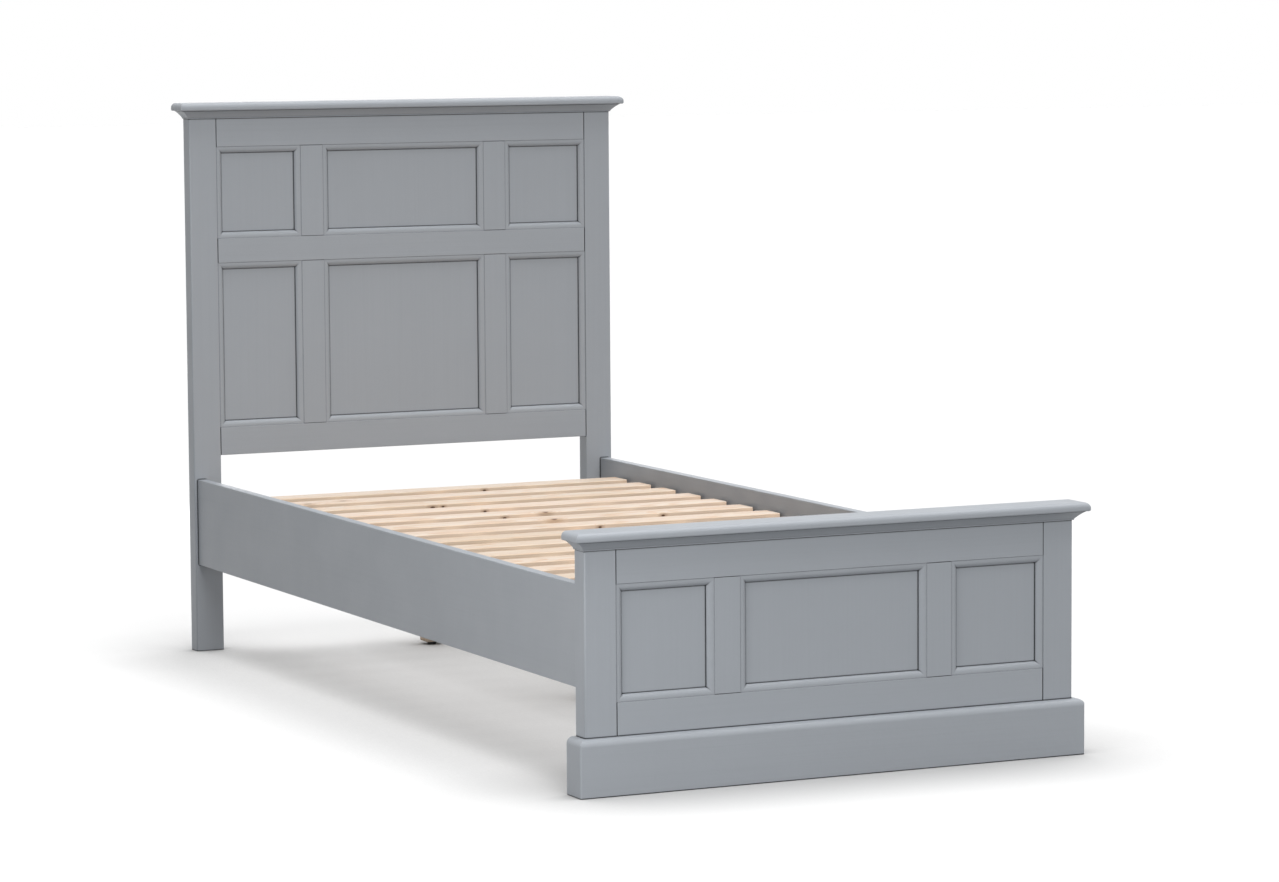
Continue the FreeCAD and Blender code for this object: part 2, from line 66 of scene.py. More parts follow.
# Broad lights: name, strength, spread, and the side that each shines from
SUNS = (
    ("overhead", 2.5, 60.0, Vector((0.15, -0.03, 1.0))),
    ("front", 0.98, 30.0, Vector((-0.04, -1.0, 0.60))),
)
# Soft boxes: name, watts, width, place, and the point that each is aimed at
SOFT_BOXES = (
    ("side", 17.5, 1.2, Vector((-2.1, -1.95, 0.9)), Vector((-0.4, -0.9, 0.3))),
    ("back", 15.0, 1.2, Vector((0.9, 3.4, 0.8)), Vector((0.0, 1.0, 0.6))),
)
SKY_LEVEL = 0.27               # the sky's strength as light on the bed
SKY_SHOWN = 1.0                # and its strength to the viewer, which is white
WHITE = (1.0, 1.0, 1.0, 1.0)

FLOOR_SIZE = 80.0
FLOOR_DROP = 0.0004            # how far the floor lies below the feet
FLOOR_BOUNCE = 0.28            # the floor's paleness as light on the bed
FLOOR_SHOWN = 0.46             # and its paleness to the viewer
FLOOR_GLOW = 0.465             # what the viewer sees on top of that, away from the bed
FLOOR_REACH = 0.325            # how far round the bed the glow is lower, a painted shadow
FLOOR_CONTRAST = 3.0           # how steeply it falls there
FLOOR_SAMPLES = 16

# Softened arrises on the carried-over pieces
WELD_GAP = 0.00002
PAINTED_BEVEL = 0.0013
PINE_BEVEL = 0.0005
METAL_BEVEL = 0.0002
BEVEL_ANGLE = 32.0
BEVEL_SEGMENTS = 2
SMOOTH_ANGLE = 35.0            # edges sharper than this stay sharp on the pieces made here


def middle_y(box):
    """The middle of a box between the footboard and the headboard."""
    low, high = box
    return (low.y + high.y) / 2


# ---------------------------------------------------------------- node helpers

UNIT = (0.0, 1.0)
NOISE_MIDDLE = (0.3, 0.7)      # where most of a noise texture's values lie
NOISE_ROUGHNESS = 0.55         # the usual roughness of a noise

# The Mix node's sockets when it mixes colours
MIX_FACTOR, MIX_FIRST, MIX_SECOND, MIX_RESULT = 0, 6, 7, 2


class Tree:
    """The node tree of a material or a world, with short ways to add linked nodes."""

    def __init__(self, owner):
        self.owner = owner
        owner.use_nodes = True
        self.nodes = owner.node_tree.nodes
        self.links = owner.node_tree.links
        self.nodes.clear()

    def add(self, kind, **settings):
        """A node with its settings."""
        node = self.nodes.new(kind)
        for name, value in settings.items():
            setattr(node, name, value)
        return node

    def feed(self, node, name, value):
        """Links value if it is a socket, and sets it if it is plain. None leaves the default."""
        if isinstance(value, bpy.types.NodeSocket):
            self.links.new(value, node.inputs[name])
        elif value is not None:
            node.inputs[name].default_value = value

    def math(self, operation, first, second=None, third=None):
        """One Math node's result."""
        node = self.add("ShaderNodeMath", operation=operation)
        self.feed(node, 0, first)
        self.feed(node, 1, second)
        self.feed(node, 2, third)
        return node.outputs[0]

    def times(self, first, second):
        """A product."""
        return self.math("MULTIPLY", first, second)

    def plus(self, first, second):
        """A sum."""
        return self.math("ADD", first, second)

    def swing(self, noise, reach):
        """Noise from 0 to 1, as a swing to both sides of nought."""
        return self.times(self.math("SUBTRACT", noise, 0.5), reach)

    def vector_math(self, operation, first, second=None, output="Vector"):
        """One Vector Math node's result."""
        node = self.add("ShaderNodeVectorMath", operation=operation)
        self.feed(node, 0, first)
        self.feed(node, 1, second)
        return node.outputs[output]

    def place(self):
        """The point on the piece, which stays with it when it moves."""
        return self.add("ShaderNodeTexCoord").outputs["Object"]

    def split(self, vector):
        """The x, y and z of a vector."""
        node = self.add("ShaderNodeSeparateXYZ")
        self.feed(node, 0, vector)
        return node.outputs

    def join(self, x, y, z):
        """A vector from x, y and z."""
        node = self.add("ShaderNodeCombineXYZ")
        self.feed(node, 0, x)
        self.feed(node, 1, y)
        self.feed(node, 2, z)
        return node.outputs[0]

    def noise(self, vector, scale, octaves, roughness=NOISE_ROUGHNESS):
        """Smooth noise from 0 to 1."""
        node = self.add("ShaderNodeTexNoise")
        self.feed(node, "Vector", vector)
        self.feed(node, "Scale", scale)
        self.feed(node, "Detail", octaves)
        self.feed(node, "Roughness", roughness)
        return node.outputs["Fac"]

    def grain_noise(self, along, across, deep, scale_along, scale_across, octaves):
        """Noise with one scale along the grain and another across it."""
        point = self.join(self.times(along, scale_along), self.times(across, scale_across),
                          self.times(deep, scale_across))
        return self.noise(point, 1.0, octaves)

    def span(self, value, source, target=UNIT, smooth=False):
        """A value from one range spread onto another, held at its ends."""
        kind = "SMOOTHSTEP" if smooth else "LINEAR"
        node = self.add("ShaderNodeMapRange", interpolation_type=kind)
        self.feed(node, "Value", value)
        self.feed(node, "From Min", source[0])
        self.feed(node, "From Max", source[1])
        self.feed(node, "To Min", target[0])
        self.feed(node, "To Max", target[1])
        return node.outputs["Result"]

    def mix(self, factor, first, second, blend="MIX"):
        """A mix of two colours."""
        node = self.add("ShaderNodeMix", data_type="RGBA", blend_type=blend)
        self.feed(node, MIX_FACTOR, factor)
        self.feed(node, MIX_FIRST, first)
        self.feed(node, MIX_SECOND, second)
        return node.outputs[MIX_RESULT]

    def bump(self, height, relief, normal=None):
        """A bumped normal, on top of an earlier one if that is given."""
        distance, strength = relief
        node = self.add("ShaderNodeBump")
        self.feed(node, "Height", height)
        self.feed(node, "Distance", distance)
        self.feed(node, "Strength", strength)
        self.feed(node, "Normal", normal)
        return node.outputs["Normal"]

    def openness(self, reach, samples):
        """How open the surface is round a point: 1 in the open, towards 0 deep in a joint."""
        node = self.add("ShaderNodeAmbientOcclusion", samples=samples)
        self.feed(node, "Distance", reach)
        return node.outputs["AO"]

    def surface(self, colour, roughness, normal, **plain):
        """A finished material. Plain values go straight on the shader's sockets."""
        shader = self.add("ShaderNodeBsdfPrincipled")
        self.feed(shader, "Base Color", colour)
        self.feed(shader, "Roughness", roughness)
        self.feed(shader, "Normal", normal)
        for name, value in plain.items():
            shader.inputs[name.replace("_", " ")].default_value = value
        self.finish(shader)
        return self.owner

    def finish(self, shader, output="ShaderNodeOutputMaterial"):
        """Links the last shader to the output."""
        self.feed(self.add(output), "Surface", shader.outputs[0])


def new_tree(material_name):
    """The node tree of a new material."""
    return Tree(bpy.data.materials.new(material_name))


def shade(colour, factor):
    """A colour made lighter or darker."""
    return tuple(channel * factor for channel in colour[:3]) + (1.0,)


# ---------------------------------------------------------------- satin paint

PAINT = (0.352, 0.376, 0.408, 1.0)
PAINT_IOR = 1.45
CLOUD_NOISE = (5.0, 4.0)
CLOUD_DARK, CLOUD_LIGHT = 0.985, 1.015
SPECK_NOISE = (620.0, 2.0)
SPECK_RANGE = (0.35, 0.65)
SPECK_SHARE = 0.35
SPECK_SHADE = 0.97
LINE_ALONG, LINE_ACROSS = 3.0, 240.0   # the scales of the grain's lines
LINE_NOISE = (1.0, 4.0, 0.6)
LINE_RANGE = (0.42, 0.72)
LINE_SHARE = 0.6
LINE_SHADE = 0.96
LINE_BUMP = (0.00012, 0.5)
CREASE_REACH = 0.0032                  # how far into a joint the painted shade reaches
CREASE_SAMPLES = 12
CREASE_RANGE = (0.68, 0.98)
PAINTED_SHADE_TONES = (0.08, 1.0)
SATIN_NOISE = (14.0, 3.0)
SATIN_ROUGHNESS = (0.42, 0.50)
WAVE_NOISE = (28.0, 2.0)
WAVE_BUMP = (0.0012, 0.35)
PEEL_NOISE = (420.0, 2.0, 0.4)
PEEL_BUMP = (0.00012, 0.6)


def paint_material(long_axis):
    """Satin grey sprayed paint: fine orange peel, with the wood's grain just showing."""
    tree = new_tree("grey_paint_" + long_axis.lower())
    place = tree.place()
    clouds = tree.span(tree.noise(place, *CLOUD_NOISE), NOISE_MIDDLE)
    specks = tree.span(tree.noise(place, *SPECK_NOISE), SPECK_RANGE)
    stretch = [LINE_ALONG if axis == long_axis else LINE_ACROSS for axis in "XYZ"]
    grain = tree.noise(tree.vector_math("MULTIPLY", place, stretch), *LINE_NOISE)
    lines = tree.span(grain, LINE_RANGE)
    # Painted shade: the paint's colour is darkened where the surface is closed in, deep in creases,
    # grooves and joints
    crease_painted_shade = tree.span(tree.openness(CREASE_REACH, CREASE_SAMPLES), CREASE_RANGE, PAINTED_SHADE_TONES)

    colour = tree.mix(clouds, shade(PAINT, CLOUD_DARK), shade(PAINT, CLOUD_LIGHT))
    colour = tree.mix(tree.times(specks, SPECK_SHARE), colour, shade(PAINT, SPECK_SHADE))
    colour = tree.mix(tree.times(lines, LINE_SHARE), colour, shade(PAINT, LINE_SHADE))
    colour = tree.mix(1.0, colour, tree.join(crease_painted_shade, crease_painted_shade, crease_painted_shade), "MULTIPLY")

    roughness = tree.span(tree.noise(place, *SATIN_NOISE), NOISE_MIDDLE, SATIN_ROUGHNESS)
    normal = tree.bump(tree.noise(place, *WAVE_NOISE), WAVE_BUMP)
    normal = tree.bump(lines, LINE_BUMP, normal)
    normal = tree.bump(tree.noise(place, *PEEL_NOISE), PEEL_BUMP, normal)
    return tree.surface(colour, roughness, normal, IOR=PAINT_IOR)


# ---------------------------------------------------------------- pine

PINE_PALE = (0.73, 0.625, 0.53, 1.0)
PINE_LATE = (0.60, 0.38, 0.23, 1.0)
# The narrow edges' colour, lighter and warmer than the faces: partly the edge grain's own tone,
# partly painted light
PINE_EDGE_TONE_AND_LIGHT = (0.90, 0.70, 0.53, 1.0)
PINE_KNOT = (0.12, 0.055, 0.028, 1.0)
PINE_HALO = (0.42, 0.26, 0.15, 1.0)
PINE_ROUGHNESS = (0.66, 0.52)  # of early wood, and of late wood
PINE_IOR = 1.5
PINE_SPECULAR = 0.35
BOARD_SHADES = (0.93, 1.04)    # the darkest board, and the lightest
BOARD_WARMTH = 1.5             # how much stronger that is in blue
RAIL_PITCH = 0.5               # tells the ledgers and the centre rail apart
AXIS_ORDER = {"X": (0, 1, 2), "Y": (1, 0, 2), "Z": (2, 0, 1)}   # along, across and deep

# The log: its heart lies off the board's face, and sways and ripples along it
LOG_LENGTH = 40.0
LOG_LEVEL = 0.321              # the slats' middle height
HEART_ASIDE = 0.10             # the range of the heart's place across the board
HEART_BELOW, HEART_BELOW_RANGE = 0.018, 0.10
SWAY_NOISE = (1.3, 1.0, 2.0)   # here and below: scale along the grain and across it, octaves
SWAY = 0.07
RIPPLE_NOISE = (5.0, 30.0, 3.0)
RIPPLE = 0.007

# Rings: pale early wood that darkens slowly to a thin late line
RING_COUNT = 290.0             # a metre
LATE_RISE = (0.35, 0.93)       # where in a ring the late wood darkens
LATE_FALL = (0.93, 1.0)        # and where it ends
LATE_SHARE = 0.75
FIBRE_NOISE = (9.0, 900.0, 3.0)
FIBRE_RANGE = (0.25, 0.75)
FIBRE_LATE = (0.55, 1.0)       # how much late wood the fibres leave
FIBRE_SHADE = 0.95
STREAK_NOISE = (2.0, 60.0, 3.0)
STREAK_RANGE = (0.48, 0.80)
STREAK_SHARE = (0.0, 0.55)
EDGE_FACING = (0.5, 0.9)       # how squarely a narrow edge faces across the board
EDGE_TONE_AND_LIGHT_SHARE = (0.0, 0.65)       # how much of the edge takes the lighter, warmer edge colour: partly its own grain, partly painted light
SAW_NOISE = (160.0, 6.0, 1.0)
SAW_BUMP = (0.0003, 0.15)
LATE_RELIEF, FIBRE_RELIEF = 0.5, 0.8
RELIEF_BUMP = (0.0003, 0.5)

# Knots that fall by chance, in cells along the log
KNOT_CELL = 0.115
KNOT_CELL_DEPTH = 2.2          # in cells
KNOT_BOARD_SHIFT = 3.7         # in cells, from one board to the next
KNOT_RADIUS, KNOT_RADIUS_RANGE = 0.0022, 0.0042
KNOT_RARITY = 0.76
KNOT_RARITY_SEEN = 0.86        # where knots are listed too
KNOT_PULL = 0.010              # how far a knot pushes the rings out
HALO_SHARE = 0.6
# Where the core, the halo and the pull fade, in knot radii
CHANCE_KNOT = ((0.75, 1.15), (1.0, 3.4), (0.0, 6.0))
SEEN_KNOT = ((0.7, 1.15), (1.0, 3.6), (0.0, 5.0))

# Knots seen in the photograph: slat number, metres from the middle line, metres from the
# slat's own middle towards the footboard, height above the slat's underside, radius
SEEN_KNOTS = (
    (1, 0.112, 0.030, 0.012, 0.0022),
    (2, -0.331, 0.019, 0.018, 0.0046),
    (2, -0.247, 0.002, 0.018, 0.0042),
    (3, -0.108, 0.030, 0.011, 0.0029),
    (3, -0.085, 0.030, 0.012, 0.0018),
    (4, -0.043, 0.030, 0.012, 0.0020),
    (5, -0.052, 0.030, 0.011, 0.0022),
    (5, 0.039, 0.026, 0.018, 0.0042),
    (6, 0.004, 0.026, 0.018, 0.0044),
    (6, 0.244, 0.030, 0.012, 0.0022),
    (7, 0.048, 0.030, 0.012, 0.0020),
)
KNOT_LENGTH = 1.9              # a seen knot's length along the grain, in widths
FAR_OFF = 99.0                 # farther than any knot, in knot radii


def board_chance(tree, board_number):
    """Three random numbers that belong to one board."""
    node = tree.add("ShaderNodeTexWhiteNoise", noise_dimensions="1D")
    tree.feed(node, "W", board_number)
    return tree.split(node.outputs["Color"])


def heart_distance(tree, along, across, deep, chance):
    """The distance to the heart of the log that a board is cut from."""
    heart_across = tree.swing(chance[1], HEART_ASIDE)
    heart_deep = tree.math("MULTIPLY_ADD", chance[2], HEART_BELOW_RANGE, HEART_BELOW)
    sway = tree.swing(tree.grain_noise(along, across, deep, *SWAY_NOISE), SWAY)
    ripple = tree.swing(tree.grain_noise(along, across, deep, *RIPPLE_NOISE), RIPPLE)
    aside = tree.plus(tree.plus(across, heart_across), ripple)
    below = tree.plus(tree.plus(deep, heart_deep), sway)
    return tree.math("SQRT", tree.plus(tree.times(aside, aside), tree.times(below, below)))


def chance_knots(tree, along, across, deep, board_number, rarity):
    """The distance to the nearest cell's heart in knot radii, and 1 where that is a knot."""
    cells = tree.add("ShaderNodeTexVoronoi", feature="F1")
    shift = tree.times(board_number, KNOT_BOARD_SHIFT)
    tree.feed(cells, "Vector", tree.join(
        tree.math("DIVIDE", along, KNOT_CELL),
        tree.plus(tree.math("DIVIDE", across, KNOT_CELL), shift),
        tree.math("DIVIDE", deep, KNOT_CELL * KNOT_CELL_DEPTH)))
    tree.feed(cells, "Scale", 1.0)
    chance = tree.split(cells.outputs["Color"])
    distance = tree.times(cells.outputs["Distance"], KNOT_CELL)
    radius = tree.math("MULTIPLY_ADD", chance[1], KNOT_RADIUS_RANGE, KNOT_RADIUS)
    is_knot = tree.math("GREATER_THAN", chance[0], rarity)
    return tree.math("DIVIDE", distance, radius), is_knot


def seen_knots(tree, place):
    """The distance to the nearest seen knot's heart, in knot radii."""
    nearest = FAR_OFF
    for number, x, towards_foot, height, radius in SEEN_KNOTS:
        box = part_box(f"slat_{number:02d}")
        heart = Vector((x, middle_y(box) - towards_foot, box[0].z + height))
        away = tree.vector_math("SUBTRACT", place, heart)
        away = tree.vector_math("DIVIDE", away, (radius * KNOT_LENGTH, radius, radius))
        nearest = tree.math("MINIMUM", tree.vector_math("LENGTH", away, output="Value"), nearest)
    return nearest


def knot_marks(tree, distance, fades):
    """A knot's core and halo, and how far it pushes the rings out."""
    return [tree.span(distance, fade, (strength, 0.0), smooth=True)
            for fade, strength in zip(fades, (1.0, 1.0, KNOT_PULL))]


def pine_material(name, long_axis, pitch, knots=False):
    """Planed pine. The rings follow each board's long axis, and boards a pitch apart differ."""
    tree = new_tree(name)
    place = tree.place()
    order = AXIS_ORDER[long_axis]
    sides = tree.split(place)
    x, across, deep = (sides[index] for index in order)
    board_number = tree.math("ROUND", tree.math("DIVIDE", across, pitch))
    board_across = tree.math("SUBTRACT", across, tree.times(board_number, pitch))
    board_deep = tree.math("SUBTRACT", deep, LOG_LEVEL)
    chance = board_chance(tree, board_number)
    along = tree.plus(x, tree.times(chance[0], LOG_LENGTH))

    distance, is_knot = chance_knots(tree, along, board_across, board_deep, board_number,
                                     KNOT_RARITY_SEEN if knots else KNOT_RARITY)
    marks = [tree.times(mark, is_knot) for mark in knot_marks(tree, distance, CHANCE_KNOT)]
    if knots:
        seen = knot_marks(tree, seen_knots(tree, place), SEEN_KNOT)
        marks = [tree.math("MAXIMUM", *pair) for pair in zip(marks, seen)]
    core, halo, pull = marks

    radius = tree.plus(heart_distance(tree, along, board_across, board_deep, chance), pull)
    phase = tree.math("FRACT", tree.times(radius, RING_COUNT))
    late = tree.times(tree.span(phase, LATE_RISE, smooth=True),
                      tree.span(phase, LATE_FALL, (1.0, 0.0)))
    fibre = tree.grain_noise(along, across, deep, *FIBRE_NOISE)
    late = tree.times(late, tree.span(fibre, FIBRE_RANGE, FIBRE_LATE))
    streaks = tree.grain_noise(along, across, deep, *STREAK_NOISE)
    # Painted light in part: faces turned across the board are made lighter and warmer than the
    # board's top
    facing = tree.split(tree.add("ShaderNodeNewGeometry").outputs["Normal"])[order[1]]
    edge_tone_and_light = tree.span(tree.math("ABSOLUTE", facing), EDGE_FACING, EDGE_TONE_AND_LIGHT_SHARE)

    colour = tree.mix(tree.span(fibre, NOISE_MIDDLE), shade(PINE_PALE, FIBRE_SHADE), PINE_PALE)
    colour = tree.mix(tree.times(late, LATE_SHARE), colour, PINE_LATE)
    colour = tree.mix(tree.span(streaks, STREAK_RANGE, STREAK_SHARE), colour, PINE_LATE)
    colour = tree.mix(edge_tone_and_light, colour, PINE_EDGE_TONE_AND_LIGHT)
    colour = tree.mix(tree.times(halo, HALO_SHARE), colour, PINE_HALO)
    colour = tree.mix(core, colour, PINE_KNOT)
    board_shade = tree.span(chance[1], UNIT, BOARD_SHADES)
    tint = tree.join(board_shade, board_shade, tree.math("POWER", board_shade, BOARD_WARMTH))
    colour = tree.mix(1.0, colour, tint, "MULTIPLY")

    roughness = tree.span(late, UNIT, PINE_ROUGHNESS)
    relief = tree.plus(tree.times(late, LATE_RELIEF), tree.times(fibre, FIBRE_RELIEF))
    normal = tree.bump(tree.grain_noise(x, across, deep, *SAW_NOISE), SAW_BUMP)
    normal = tree.bump(relief, RELIEF_BUMP, normal)
    return tree.surface(colour, roughness, normal, IOR=PINE_IOR,
                        Specular_IOR_Level=PINE_SPECULAR)


# ---------------------------------------------------------------- webbing, metal, nylon, beech

WEBBING = (0.72, 0.70, 0.65, 1.0)
WARP_PITCH, WEFT_PITCH, SLANT_PITCH = 0.0021, 0.0028, 0.0042
WEAVE_RANGE = (-1.6, 1.6)
WEAVE_HOLLOW_PAINTED_SHADE = 0.72
WEAVE_BUMP = (0.0003, 0.7)
FUZZ_NOISE = (1500.0, 2.0)
FUZZ_SHARE = (0.0, 0.25)
FUZZ_SHADE = 0.85
FUZZ_RELIEF = 0.5
WEBBING_ROUGHNESS = 0.78
WEBBING_SHEEN = 0.25

ZINC = (0.62, 0.62, 0.60, 1.0)
ZINC_NOISE = (160.0, 4.0)
ZINC_DARK, ZINC_LIGHT = 0.85, 1.1
ZINC_ROUGHNESS = (0.28, 0.42)
ROLLING_STRETCH = (300.0, 300.0, 4000.0)
ROLLING_NOISE = (1.0, 2.0)
ROLLING_BUMP = (0.00004, 0.5)

NYLON = (0.012, 0.012, 0.013, 1.0)
NYLON_ROUGHNESS = (0.40, 0.58)
SPARK_NOISE = (2600.0, 2.0)
SPARK_BUMP = (0.00006, 0.6)
SCUFF_NOISE = (240.0, 4.0)
SCUFF_RANGE = (0.55, 0.75)
SCUFF_SHARE = (0.0, 0.4)
SCUFF_SHADE = 3.0

BEECH = (0.60, 0.42, 0.27, 1.0)
BEECH_ROUGHNESS = 0.6
FLECK_STRETCH = (900.0, 900.0, 60.0)
FLECK_NOISE = (1.0, 3.0)
FLECK_RANGE = (0.45, 0.7)
FLECK_SHADE = 0.72
FLECK_BUMP = (0.0001, 0.4)


def webbing_material():
    """Woven tape: ribs across its length and a herringbone of fine yarns."""
    tree = new_tree("webbing")
    place = tree.place()
    x, y = tree.split(place)[:2]
    warp, weft, slant = (
        tree.math("SINE", tree.times(way, 2 * math.pi / pitch))
        for way, pitch in ((x, WARP_PITCH), (y, WEFT_PITCH), (tree.plus(x, y), SLANT_PITCH)))
    weave = tree.times(tree.plus(warp, slant), weft)
    fuzz = tree.noise(place, *FUZZ_NOISE)
    # Painted shade: the weave's low parts, the hollows between the yarns, are darker
    colour = tree.mix(tree.span(weave, WEAVE_RANGE), shade(WEBBING, WEAVE_HOLLOW_PAINTED_SHADE), WEBBING)
    colour = tree.mix(tree.span(fuzz, NOISE_MIDDLE, FUZZ_SHARE), colour,
                      shade(WEBBING, FUZZ_SHADE))
    normal = tree.bump(tree.plus(weave, tree.times(fuzz, FUZZ_RELIEF)), WEAVE_BUMP)
    return tree.surface(colour, WEBBING_ROUGHNESS, normal, Sheen_Weight=WEBBING_SHEEN)


def zinc_material():
    """Zinc-plated steel: soft crystalline mottling and fine rolling marks."""
    tree = new_tree("zinc_steel")
    place = tree.place()
    patches = tree.noise(place, *ZINC_NOISE)
    marks = tree.noise(tree.vector_math("MULTIPLY", place, ROLLING_STRETCH), *ROLLING_NOISE)
    colour = tree.mix(tree.span(patches, NOISE_MIDDLE), shade(ZINC, ZINC_DARK),
                      shade(ZINC, ZINC_LIGHT))
    roughness = tree.span(patches, NOISE_MIDDLE, ZINC_ROUGHNESS)
    return tree.surface(colour, roughness, tree.bump(marks, ROLLING_BUMP), Metallic=1.0)


def nylon_material():
    """Moulded black nylon with a fine spark-eroded grain and scuffs."""
    tree = new_tree("black_nylon")
    place = tree.place()
    grain = tree.noise(place, *SPARK_NOISE)
    scuffs = tree.noise(place, *SCUFF_NOISE)
    colour = tree.mix(tree.span(scuffs, SCUFF_RANGE, SCUFF_SHARE), NYLON,
                      shade(NYLON, SCUFF_SHADE))
    roughness = tree.span(scuffs, NOISE_MIDDLE, NYLON_ROUGHNESS)
    return tree.surface(colour, roughness, tree.bump(grain, SPARK_BUMP))


def beech_material():
    """Beech dowel stock with short flecks along its length."""
    tree = new_tree("beech")
    stretched = tree.vector_math("MULTIPLY", tree.place(), FLECK_STRETCH)
    flecks = tree.noise(stretched, *FLECK_NOISE)
    colour = tree.mix(tree.span(flecks, FLECK_RANGE), BEECH, shade(BEECH, FLECK_SHADE))
    return tree.surface(colour, BEECH_ROUGHNESS, tree.bump(flecks, FLECK_BUMP))


# ---------------------------------------------------------------- carried-over pieces

def soften(piece, width):
    """Joins a carried-over piece's split corners and rounds its sharp arrises."""
    weld = piece.modifiers.new("joined_corners", "WELD")
    weld.merge_threshold = WELD_GAP
    bevel = piece.modifiers.new("soft_arrises", "BEVEL")
    bevel.width = width
    bevel.segments = BEVEL_SEGMENTS
    bevel.limit_method = "ANGLE"
    bevel.angle_limit = math.radians(BEVEL_ANGLE)
    bevel.use_clamp_overlap = True
    bevel.harden_normals = True


def finish_node(piece, material, width):
    """Gives a carried-over piece its material and, with a width, its soft arrises."""
    piece.data.materials.clear()
    piece.data.materials.append(material)
    if width:
        soften(piece, width)


def grain_axis(name):
    """The way a painted piece's wood grain runs."""
    if name.startswith("side_rail_"):
        return "Y"
    upright = any(part in name for part in ("_post_", "_muntins", "_panel_"))
    return "Z" if upright else "X"


def dress_frame():
    """Gives every carried-over piece its finish. Returns the finishes that aren't paint or pine."""
    slot_of = {entry["node"]: entry["material_slot"] for entry in frame["record"]["subparts"]}
    pitch = middle_y(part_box("slat_01")) - middle_y(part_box("slat_02"))
    paints = {axis: paint_material(axis) for axis in "XYZ"}
    slat_pine = pine_material("slat_pine", "X", pitch, knots=True)
    rail_pine = pine_material("rail_pine", "Y", RAIL_PITCH)
    leg_pine = pine_material("leg_pine", "Z", RAIL_PITCH)
    others = {"webbing": webbing_material(), "zinc_steel": zinc_material(),
              "black_nylon": nylon_material(), "beech": beech_material()}
    for name, piece in frame["nodes"].items():
        slot = slot_of[name]
        if slot == "grey_paint":
            moulded = name.endswith(("_cap", "_cove", "_plinth", "_beads"))
            finish_node(piece, paints[grain_axis(name)], 0.0 if moulded else PAINTED_BEVEL)
        elif name.startswith("slat_"):
            finish_node(piece, slat_pine, PINE_BEVEL)
        elif name == "support_legs":
            finish_node(piece, leg_pine, PINE_BEVEL)
        elif slot == "pine":
            finish_node(piece, rail_pine, PINE_BEVEL)
        else:
            finish_node(piece, others[slot], METAL_BEVEL if slot == "zinc_steel" else 0.0)
    return others


# ---------------------------------------------------------------- pieces made here

def make_piece(name, form, material, body):
    """A new piece from a form, with outward faces, its finish and the body it rides on."""
    bmesh.ops.recalc_face_normals(form, faces=form.faces)
    mesh = bpy.data.meshes.new(name)
    for face in form.faces:
        face.smooth = True
    form.to_mesh(mesh)
    form.free()
    mesh.set_sharp_from_angle(angle=math.radians(SMOOTH_ANGLE))
    mesh.materials.append(material)
    piece = bpy.data.objects.new(name, mesh)
    bpy.context.scene.collection.objects.link(piece)
    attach(piece, body)
    return piece


def sweep(form, stations):
    """Skins a row of equal sections and closes both ends."""
    rings = [[form.verts.new(point) for point in section] for section in stations]
    for first, second in zip(rings, rings[1:]):
        count = len(first)
        for index in range(count):
            following = (index + 1) % count
            form.faces.new((first[index], first[following], second[following], second[index]))
    form.faces.new(list(reversed(rings[0])))
    form.faces.new(rings[-1])


def slat_boxes():
    """The slats' boxes from the headboard to the footboard."""
    names = sorted(name for name in frame["nodes"] if name.startswith("slat_"))
    return [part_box(name) for name in names]


# Woven straps under the slats
STRAP_INNER = 0.201            # each strap's inner edge, from the middle line
STRAP_SAG = 0.0028
STRAP_SAG_POWER = 1.4          # above 1 the strap leaves a slat more gently
STRAP_STEPS = 8                # lengths between two slats
STRAP_SLAT_STEPS = 3           # lengths under one slat
STRAP_ROUND = 0.0003           # how far in the edge is rounded
STRAP_EDGE = 0.0022            # width of the flat selvedge
# The outline from an edge to the middle: metres in, and height in half thicknesses
STRAP_TOP = ((0.0, 0.0), (STRAP_ROUND, 0.8), (STRAP_EDGE, 1.0))
STRAP_UNDER = ((STRAP_ROUND, -0.8), (STRAP_EDGE, -0.75), (STRAP_EDGE * 1.6, -1.0))


def strap_middles(high):
    """Where the two straps' middles lie across the bed."""
    return [side * (STRAP_INNER + high.x) / 2 for side in (-1, 1)]


def strap_section(middle, width, underside, thickness):
    """A strap's cross-section at one station: flat, with thinner selvedges and round edges."""
    half = width / 2
    mid = thickness / 2
    left_top = [(inset - half, mid * share) for inset, share in STRAP_TOP]
    right_under = [(half - inset, mid * share) for inset, share in STRAP_UNDER]
    outline = []
    for start, height in ((left_top, mid), (right_under, -mid)):
        outline += start + [(0.0, height)] + [(-x, z) for x, z in reversed(start)]
    return [(middle[0] + x, middle[1], underside + mid + z) for x, z in outline]


def strap_stations(low, high):
    """How far each station of a strap lies along the bed, and how far it sags there."""
    slats = slat_boxes()
    stations = []
    for above, below in zip(slats, slats[1:] + [None]):
        start = min(above[1].y, high.y)
        end = max(above[0].y, low.y)
        stations += [(start + (end - start) * step / STRAP_SLAT_STEPS, 0.0)
                     for step in range(STRAP_SLAT_STEPS + 1)]
        if below is None:
            continue
        for step in range(1, STRAP_STEPS):
            share = step / STRAP_STEPS
            sag = STRAP_SAG * math.sin(math.pi * share) ** STRAP_SAG_POWER
            stations.append((end + (below[1].y - end) * share, sag))
    return stations


def woven_straps(material):
    """Two woven straps, flat under each slat and sagging a little between them."""
    low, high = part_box("webbing_straps")
    thickness = high.z - low.z
    width = high.x - STRAP_INNER
    form = bmesh.new()
    for x in strap_middles(high):
        sweep(form, [strap_section((x, y), width, low.z - sag, thickness)
                     for y, sag in strap_stations(low, high)])
    piece = make_piece("woven_straps", form, material, "slat_roll")
    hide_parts("webbing_straps")


